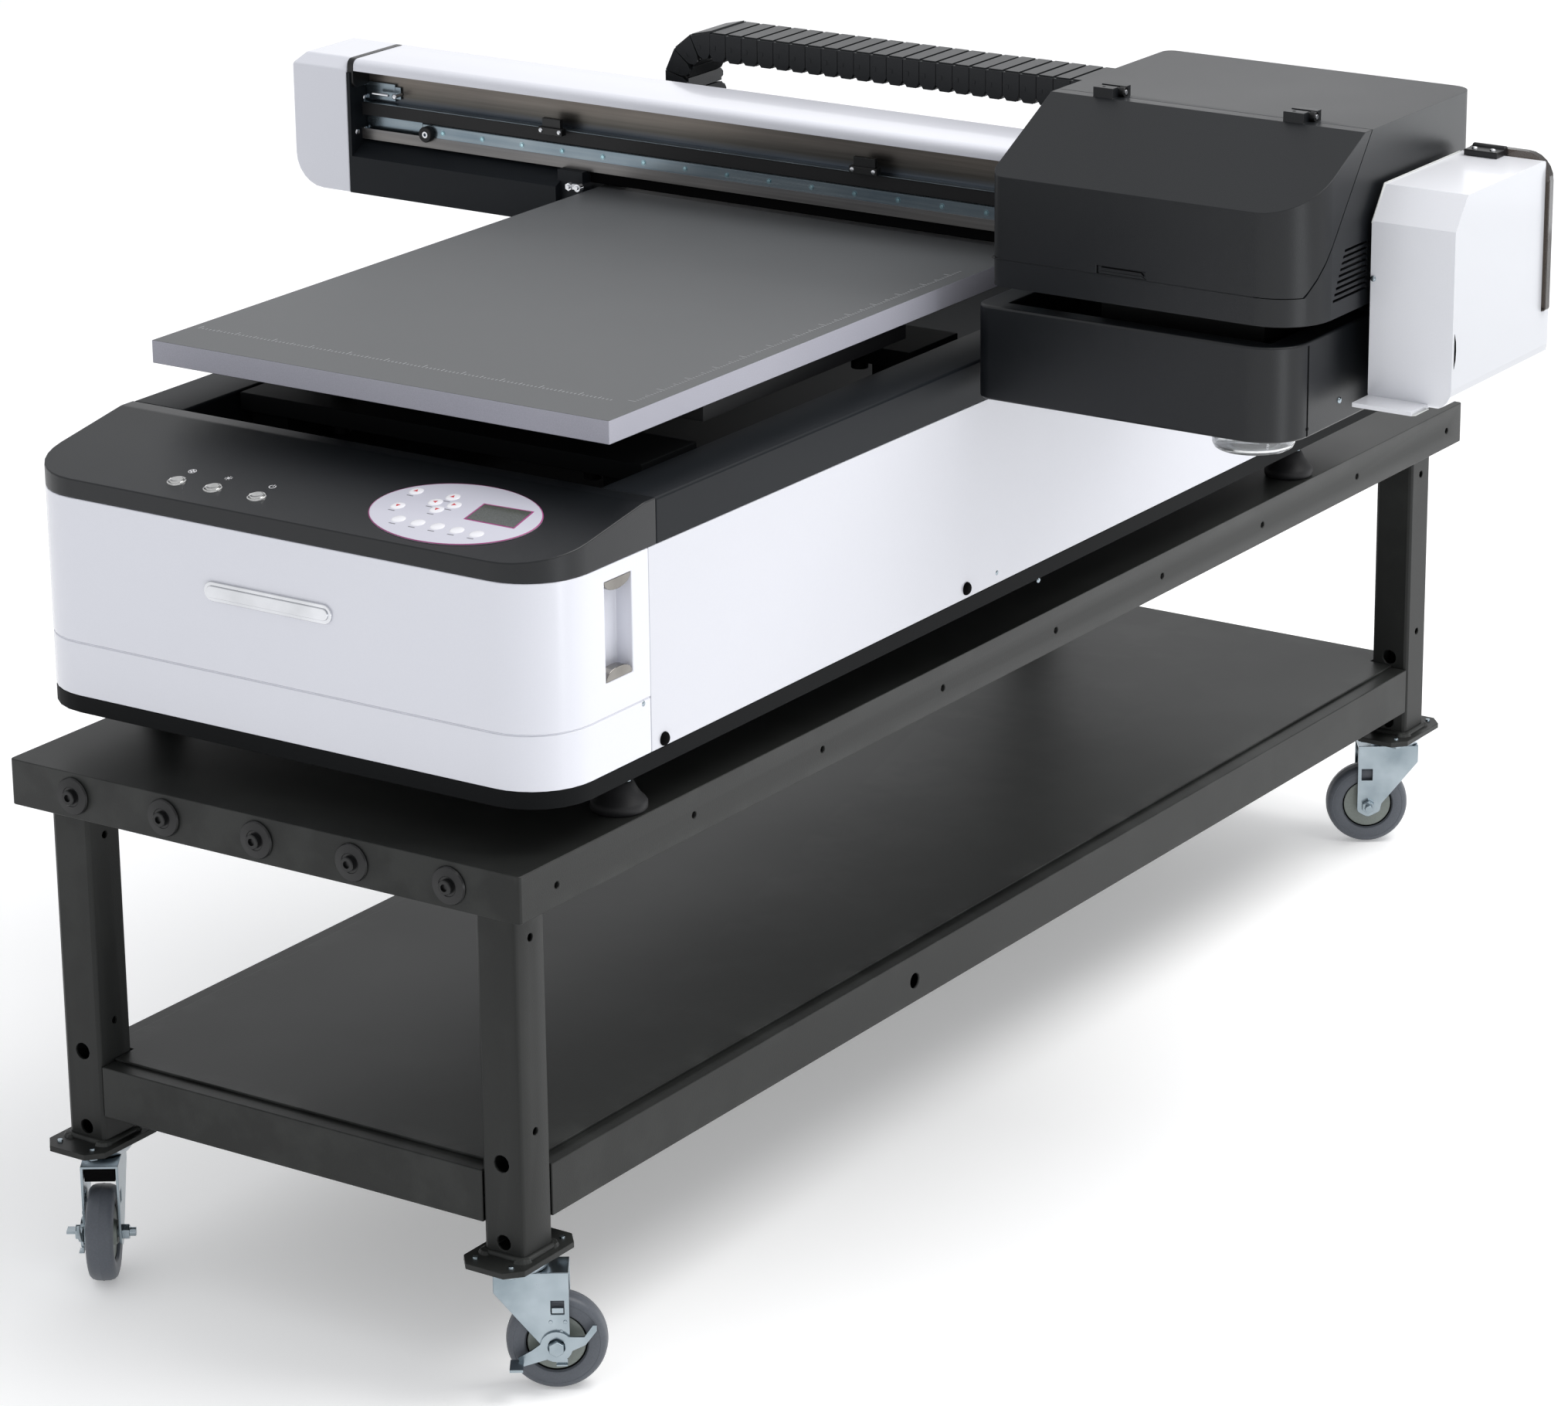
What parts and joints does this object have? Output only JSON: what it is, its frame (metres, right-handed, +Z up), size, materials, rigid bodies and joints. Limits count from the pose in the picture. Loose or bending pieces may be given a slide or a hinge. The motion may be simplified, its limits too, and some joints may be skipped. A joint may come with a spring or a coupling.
{
  "type": "flatbed uv printer",
  "caption": "Flatbed UV inkjet printer on a wheeled steel cart, with a travelling bed, a gantry print carriage, a drag chain and an ink cabinet.",
  "frame": {"origin": "on the floor under the middle of the whole machine's box", "axes": "+Z up, +Y from the control panel to the back along the bed's travel, +X to the right along the gantry"},
  "size_m": [1.602, 2.067, 1.221],
  "materials": {
    "cart_grey": "textured dark warm-grey powder coat",
    "zinc": "bright blue-white zinc plating",
    "tyre_grey": "grey moulded thermoplastic rubber",
    "body_black": "fine-textured charcoal black coating",
    "cover_black": "fine-textured charcoal black moulding",
    "body_white": "glossy cool white",
    "side_white": "glossy white coated sheet",
    "steel": "polished plain steel",
    "rail_steel": "ground rail steel with oil film",
    "bed_grey": "matt anodised grey",
    "rubber_black": "matt black rubber",
    "button_steel": "turned stainless steel",
    "keypad_film": "printed membrane film",
    "chain_black": "moulded nylon links",
    "clear": "clear moulded bottle",
    "smoke": "smoke-tinted acrylic"
  },
  "bodies": {
    "frame": {"cart_top": "cart_grey", "cart_leg_fl": "cart_grey", "cart_leg_fr": "cart_grey", "cart_leg_rl": "cart_grey", "cart_leg_rr": "cart_grey", "lower_rail_front": "cart_grey", "lower_rail_rear": "cart_grey", "lower_rail_left": "cart_grey", "lower_rail_right": "cart_grey", "cart_shelf": "cart_grey", "base_chassis": "body_black", "rail_cap_left": "body_black", "rail_cap_right": "body_black", "rear_panel": "body_black", "gantry_arm_left": "body_black", "gantry_arm_right": "body_black", "control_bezel": "cover_black", "station_housing": "cover_black", "front_cover_lower": "body_white", "front_cover_upper": "body_white", "beam_cover": "body_white", "gantry_end_cap": "body_white", "ink_box": "body_white", "side_panel_left": "side_white", "side_panel_right": "side_white", "foot_front_left": "rubber_black", "foot_front_right": "rubber_black", "foot_rear_left": "rubber_black", "foot_rear_right": "rubber_black", "y_rail_left": "rail_steel", "y_rail_right": "rail_steel", "carriage_rail": "rail_steel", "keypad": "keypad_film", "gantry_beam": "steel", "waste_bottle": "clear", "chain_lower": "chain_black"},
    "bed_carriage": {"bed_carriage": "body_black"},
    "bed": {"print_bed": "bed_grey"},
    "carriage": {"carriage_cover": "cover_black", "print_head": "steel", "chain_upper": "chain_black"},
    "door": {"carriage_door": "cover_black"},
    "chain_loop": {"chain_bend": "chain_black"},
    "ink_lid": {"ink_lid": "smoke"},
    "capping_tray": {"capping_tray": "steel"},
    "button_left": {"button_left": "button_steel"},
    "button_middle": {"button_middle": "button_steel"},
    "button_right": {"button_right": "button_steel"},
    "caster_fl": {"caster_fork_fl": "zinc"},
    "wheel_fl": {"caster_wheel_fl": "tyre_grey"},
    "brake_fl": {"caster_brake_fl": "zinc"},
    "caster_fr": {"caster_fork_fr": "zinc"},
    "wheel_fr": {"caster_wheel_fr": "tyre_grey"},
    "brake_fr": {"caster_brake_fr": "zinc"},
    "caster_rl": {"caster_fork_rl": "zinc"},
    "wheel_rl": {"caster_wheel_rl": "tyre_grey"},
    "brake_rl": {"caster_brake_rl": "zinc"},
    "caster_rr": {"caster_fork_rr": "zinc"},
    "wheel_rr": {"caster_wheel_rr": "tyre_grey"},
    "brake_rr": {"caster_brake_rr": "zinc"}
  },
  "joints": [
    {"name": "bed_travel", "type": "slide", "parent": "frame", "child": "bed_carriage", "axis": [0, 1, 0], "range_m": [0, 0.7]},
    {"name": "bed_lift", "type": "slide", "parent": "bed_carriage", "child": "bed", "axis": [0, 0, 1], "range_m": [-0.045, 0]},
    {"name": "carriage_travel", "type": "slide", "parent": "frame", "child": "carriage", "axis": [1, 0, 0], "range_m": [-0.77, 0], "deforming": ["chain_upper"]},
    {"name": "chain_loop_travel", "type": "slide", "parent": "frame", "child": "chain_loop", "axis": [1, 0, 0], "range_m": [-0.385, 0]},
    {"name": "door_hinge", "type": "hinge", "parent": "carriage", "child": "door", "pos_m": [0.498, -0.04645, 1.217], "axis": [-1, 0, 0], "range_deg": [0, 75]},
    {"name": "ink_lid_hinge", "type": "hinge", "parent": "frame", "child": "ink_lid", "pos_m": [0.751, 0.14755, 1.1535], "axis": [1, 0, 0], "range_deg": [0, 100]},
    {"name": "capping_lift", "type": "slide", "parent": "frame", "child": "capping_tray", "axis": [0, 0, 1], "range_m": [-0.02, 0]},
    {"name": "button_left_press", "type": "slide", "parent": "frame", "child": "button_left", "axis": [0, 0.1652, -0.9863], "range_m": [0, 0.0025], "stiffness_N_per_m": 600},
    {"name": "button_middle_press", "type": "slide", "parent": "frame", "child": "button_middle", "axis": [0, 0.1652, -0.9863], "range_m": [0, 0.0025], "stiffness_N_per_m": 600},
    {"name": "button_right_press", "type": "slide", "parent": "frame", "child": "button_right", "axis": [0, 0.1652, -0.9863], "range_m": [0, 0.0025], "stiffness_N_per_m": 600},
    {"name": "swivel_fl", "type": "hinge", "parent": "frame", "child": "caster_fl", "pos_m": [-0.353, -0.94845, 0.13], "axis": [0, 0, 1], "continuous": true},
    {"name": "roll_fl", "type": "hinge", "parent": "caster_fl", "child": "wheel_fl", "pos_m": [-0.33225, -0.97908, 0.053], "axis": [0.8279, 0.5609, 0], "continuous": true},
    {"name": "brake_fl", "type": "hinge", "parent": "caster_fl", "child": "brake_fl", "pos_m": [-0.33225, -0.97908, 0.053], "axis": [0.8279, 0.5609, 0], "range_deg": [0, 14]},
    {"name": "swivel_fr", "type": "hinge", "parent": "frame", "child": "caster_fr", "pos_m": [0.207, -0.94845, 0.13], "axis": [0, 0, 1], "continuous": true},
    {"name": "roll_fr", "type": "hinge", "parent": "caster_fr", "child": "wheel_fr", "pos_m": [0.23763, -0.9277, 0.053], "axis": [-0.5609, 0.8279, 0], "continuous": true},
    {"name": "brake_fr", "type": "hinge", "parent": "caster_fr", "child": "brake_fr", "pos_m": [0.23763, -0.9277, 0.053], "axis": [-0.5609, 0.8279, 0], "range_deg": [0, 14]},
    {"name": "swivel_rl", "type": "hinge", "parent": "frame", "child": "caster_rl", "pos_m": [-0.353, 0.97955, 0.13], "axis": [0, 0, 1], "continuous": true},
    {"name": "roll_rl", "type": "hinge", "parent": "caster_rl", "child": "wheel_rl", "pos_m": [-0.38777, 0.9669, 0.053], "axis": [0.342, -0.9397, 0], "continuous": true},
    {"name": "brake_rl", "type": "hinge", "parent": "caster_rl", "child": "brake_rl", "pos_m": [-0.38777, 0.9669, 0.053], "axis": [0.342, -0.9397, 0], "range_deg": [0, 14]},
    {"name": "swivel_rr", "type": "hinge", "parent": "frame", "child": "caster_rr", "pos_m": [0.207, 0.97955, 0.13], "axis": [0, 0, 1], "continuous": true},
    {"name": "roll_rr", "type": "hinge", "parent": "caster_rr", "child": "wheel_rr", "pos_m": [0.17637, 0.9588, 0.053], "axis": [0.5609, -0.8279, 0], "continuous": true},
    {"name": "brake_rr", "type": "hinge", "parent": "caster_rr", "child": "brake_rr", "pos_m": [0.17637, 0.9588, 0.053], "axis": [0.5609, -0.8279, 0], "range_deg": [0, 14]}
  ],
  "couplings": [
    {"joint": "chain_loop_travel", "follows": "carriage_travel", "ratio": 0.5}
  ]
}
